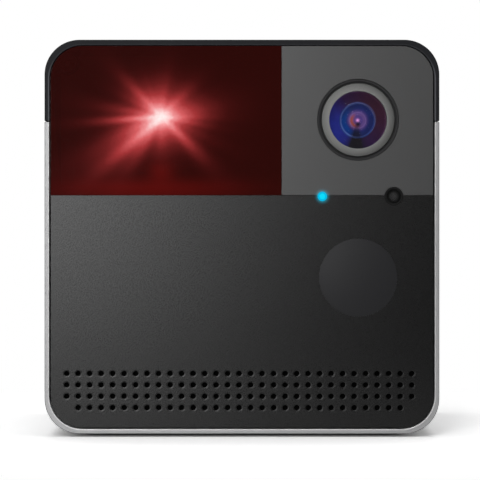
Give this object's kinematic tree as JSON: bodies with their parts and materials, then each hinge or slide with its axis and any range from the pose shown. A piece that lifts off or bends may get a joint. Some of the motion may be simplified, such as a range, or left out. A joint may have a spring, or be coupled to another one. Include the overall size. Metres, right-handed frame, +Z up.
{
  "type": "pet camera",
  "caption": "Cube pet camera with aluminium body, plastic cap, wide lens, steered laser behind a red window, speaker, motion sensor and tripod thread.",
  "frame": {"origin": "centre of the foot pad's underside", "axes": "+Z up; the front with lens and window looks towards -Y; the window is on the -X side"},
  "size_m": [0.1016, 0.1016, 0.1022],
  "materials": {
    "shell_aluminium": "fine bead-blasted",
    "cap_plastic": "satin",
    "frame_plastic": "matt",
    "rear_plastic": "satin",
    "window_red": "polished",
    "camera_panel_grey": "satin",
    "speaker_panel_black": "satin",
    "motion_plastic": "satin",
    "grille_fabric": "woven",
    "foot_rubber": "matt",
    "seal_rubber": "matt",
    "bezel_metal": "turned satin",
    "barrel_metal": "black anodised",
    "lens_glass": "coated",
    "pipe_glass": "polished, lit",
    "led_white": "gloss",
    "steel": "machined",
    "brass": "turned",
    "cast_alloy": "machined",
    "gear_plastic": "moulded",
    "board_resin": "solder mask",
    "chip_black": "moulded",
    "sensor_silicon": "polished",
    "plug_plastic": "moulded",
    "ribbon_film": "film",
    "lead_jacket": "extruded",
    "cone_paper": "pressed",
    "button_plastic": "moulded"
  },
  "bodies": {
    "housing": {"body_shell": "shell_aluminium", "top_cap": "cap_plastic", "front_frame": "frame_plastic", "rear_cover": "rear_plastic", "laser_window": "window_red", "camera_panel": "camera_panel_grey", "speaker_panel": "speaker_panel_black", "motion_window": "motion_plastic", "grille_cloth": "grille_fabric", "foot_pad": "foot_rubber", "tripod_insert": "brass", "base_plate": "steel", "tie_rods": "steel", "case_screws": "steel", "small_screws": "steel", "lens_seal": "seal_rubber", "lens_bezel": "bezel_metal", "lens_barrel": "barrel_metal", "lens_front_glass": "lens_glass", "lens_middle_glass": "lens_glass", "lens_rear_glass": "lens_glass", "lens_holder": "chip_black", "infrared_filter": "lens_glass", "image_sensor": "sensor_silicon", "camera_board": "board_resin", "camera_ribbon": "ribbon_film", "light_pipe": "pipe_glass", "status_led": "led_white", "microphone_boot": "seal_rubber", "microphone_mesh": "grille_fabric", "microphone_capsule": "cast_alloy", "motion_sensor": "steel", "front_board": "board_resin", "speaker_gasket": "seal_rubber", "speaker_basket": "frame_plastic", "speaker_surround": "seal_rubber", "speaker_magnet": "steel", "laser_bracket": "cast_alloy", "pan_bush": "brass", "pan_motor": "steel", "main_board": "board_resin", "board_chips": "chip_black", "wifi_module": "steel", "board_connectors": "plug_plastic", "board_leads": "lead_jacket", "aerial": "board_resin", "power_socket": "chip_black", "reset_switch": "chip_black"},
    "pan_unit": {"pan_yoke": "cast_alloy", "pan_gear": "gear_plastic", "pan_clip": "steel", "tilt_motor": "steel"},
    "laser_unit": {"laser_cradle": "cast_alloy", "tilt_gear": "gear_plastic", "laser_module": "brass", "laser_lens": "lens_glass"},
    "pan_drive": {"pan_pinion": "gear_plastic"},
    "tilt_drive": {"tilt_pinion": "gear_plastic"},
    "cone_unit": {"speaker_cone": "cone_paper"},
    "reset_plunger": {"reset_button": "button_plastic"}
  },
  "joints": [
    {"name": "laser_pan", "type": "hinge", "parent": "housing", "child": "pan_unit", "pos_m": [-0.0205, -0.0313, 0.0824], "axis": [0, 0, 1], "range_deg": [-40, 40]},
    {"name": "laser_tilt", "type": "hinge", "parent": "pan_unit", "child": "laser_unit", "pos_m": [-0.0205, -0.0313, 0.0824], "axis": [1, 0, 0], "range_deg": [-15, 30]},
    {"name": "pan_pinion_spin", "type": "hinge", "parent": "housing", "child": "pan_drive", "pos_m": [-0.0205, -0.0188, 0.0674], "axis": [0, 0, 1], "range_deg": [-160, 160]},
    {"name": "tilt_pinion_spin", "type": "hinge", "parent": "pan_unit", "child": "tilt_drive", "pos_m": [-0.0205, -0.0313, 0.0756], "axis": [1, 0, 0], "range_deg": [-72, 36]},
    {"name": "cone_slide", "type": "slide", "parent": "housing", "child": "cone_unit", "axis": [0, 1, 0], "range_m": [-0.0005, 0.0005], "stiffness_N_per_m": 1000},
    {"name": "reset_press", "type": "slide", "parent": "housing", "child": "reset_plunger", "axis": [0, -1, 0], "range_m": [0, 0.0005], "stiffness_N_per_m": 1500, "springref_m": -0.0004}
  ],
  "couplings": [
    {"joint": "pan_pinion_spin", "follows": "laser_pan", "ratio": -4},
    {"joint": "tilt_pinion_spin", "follows": "laser_tilt", "ratio": -2.4}
  ]
}
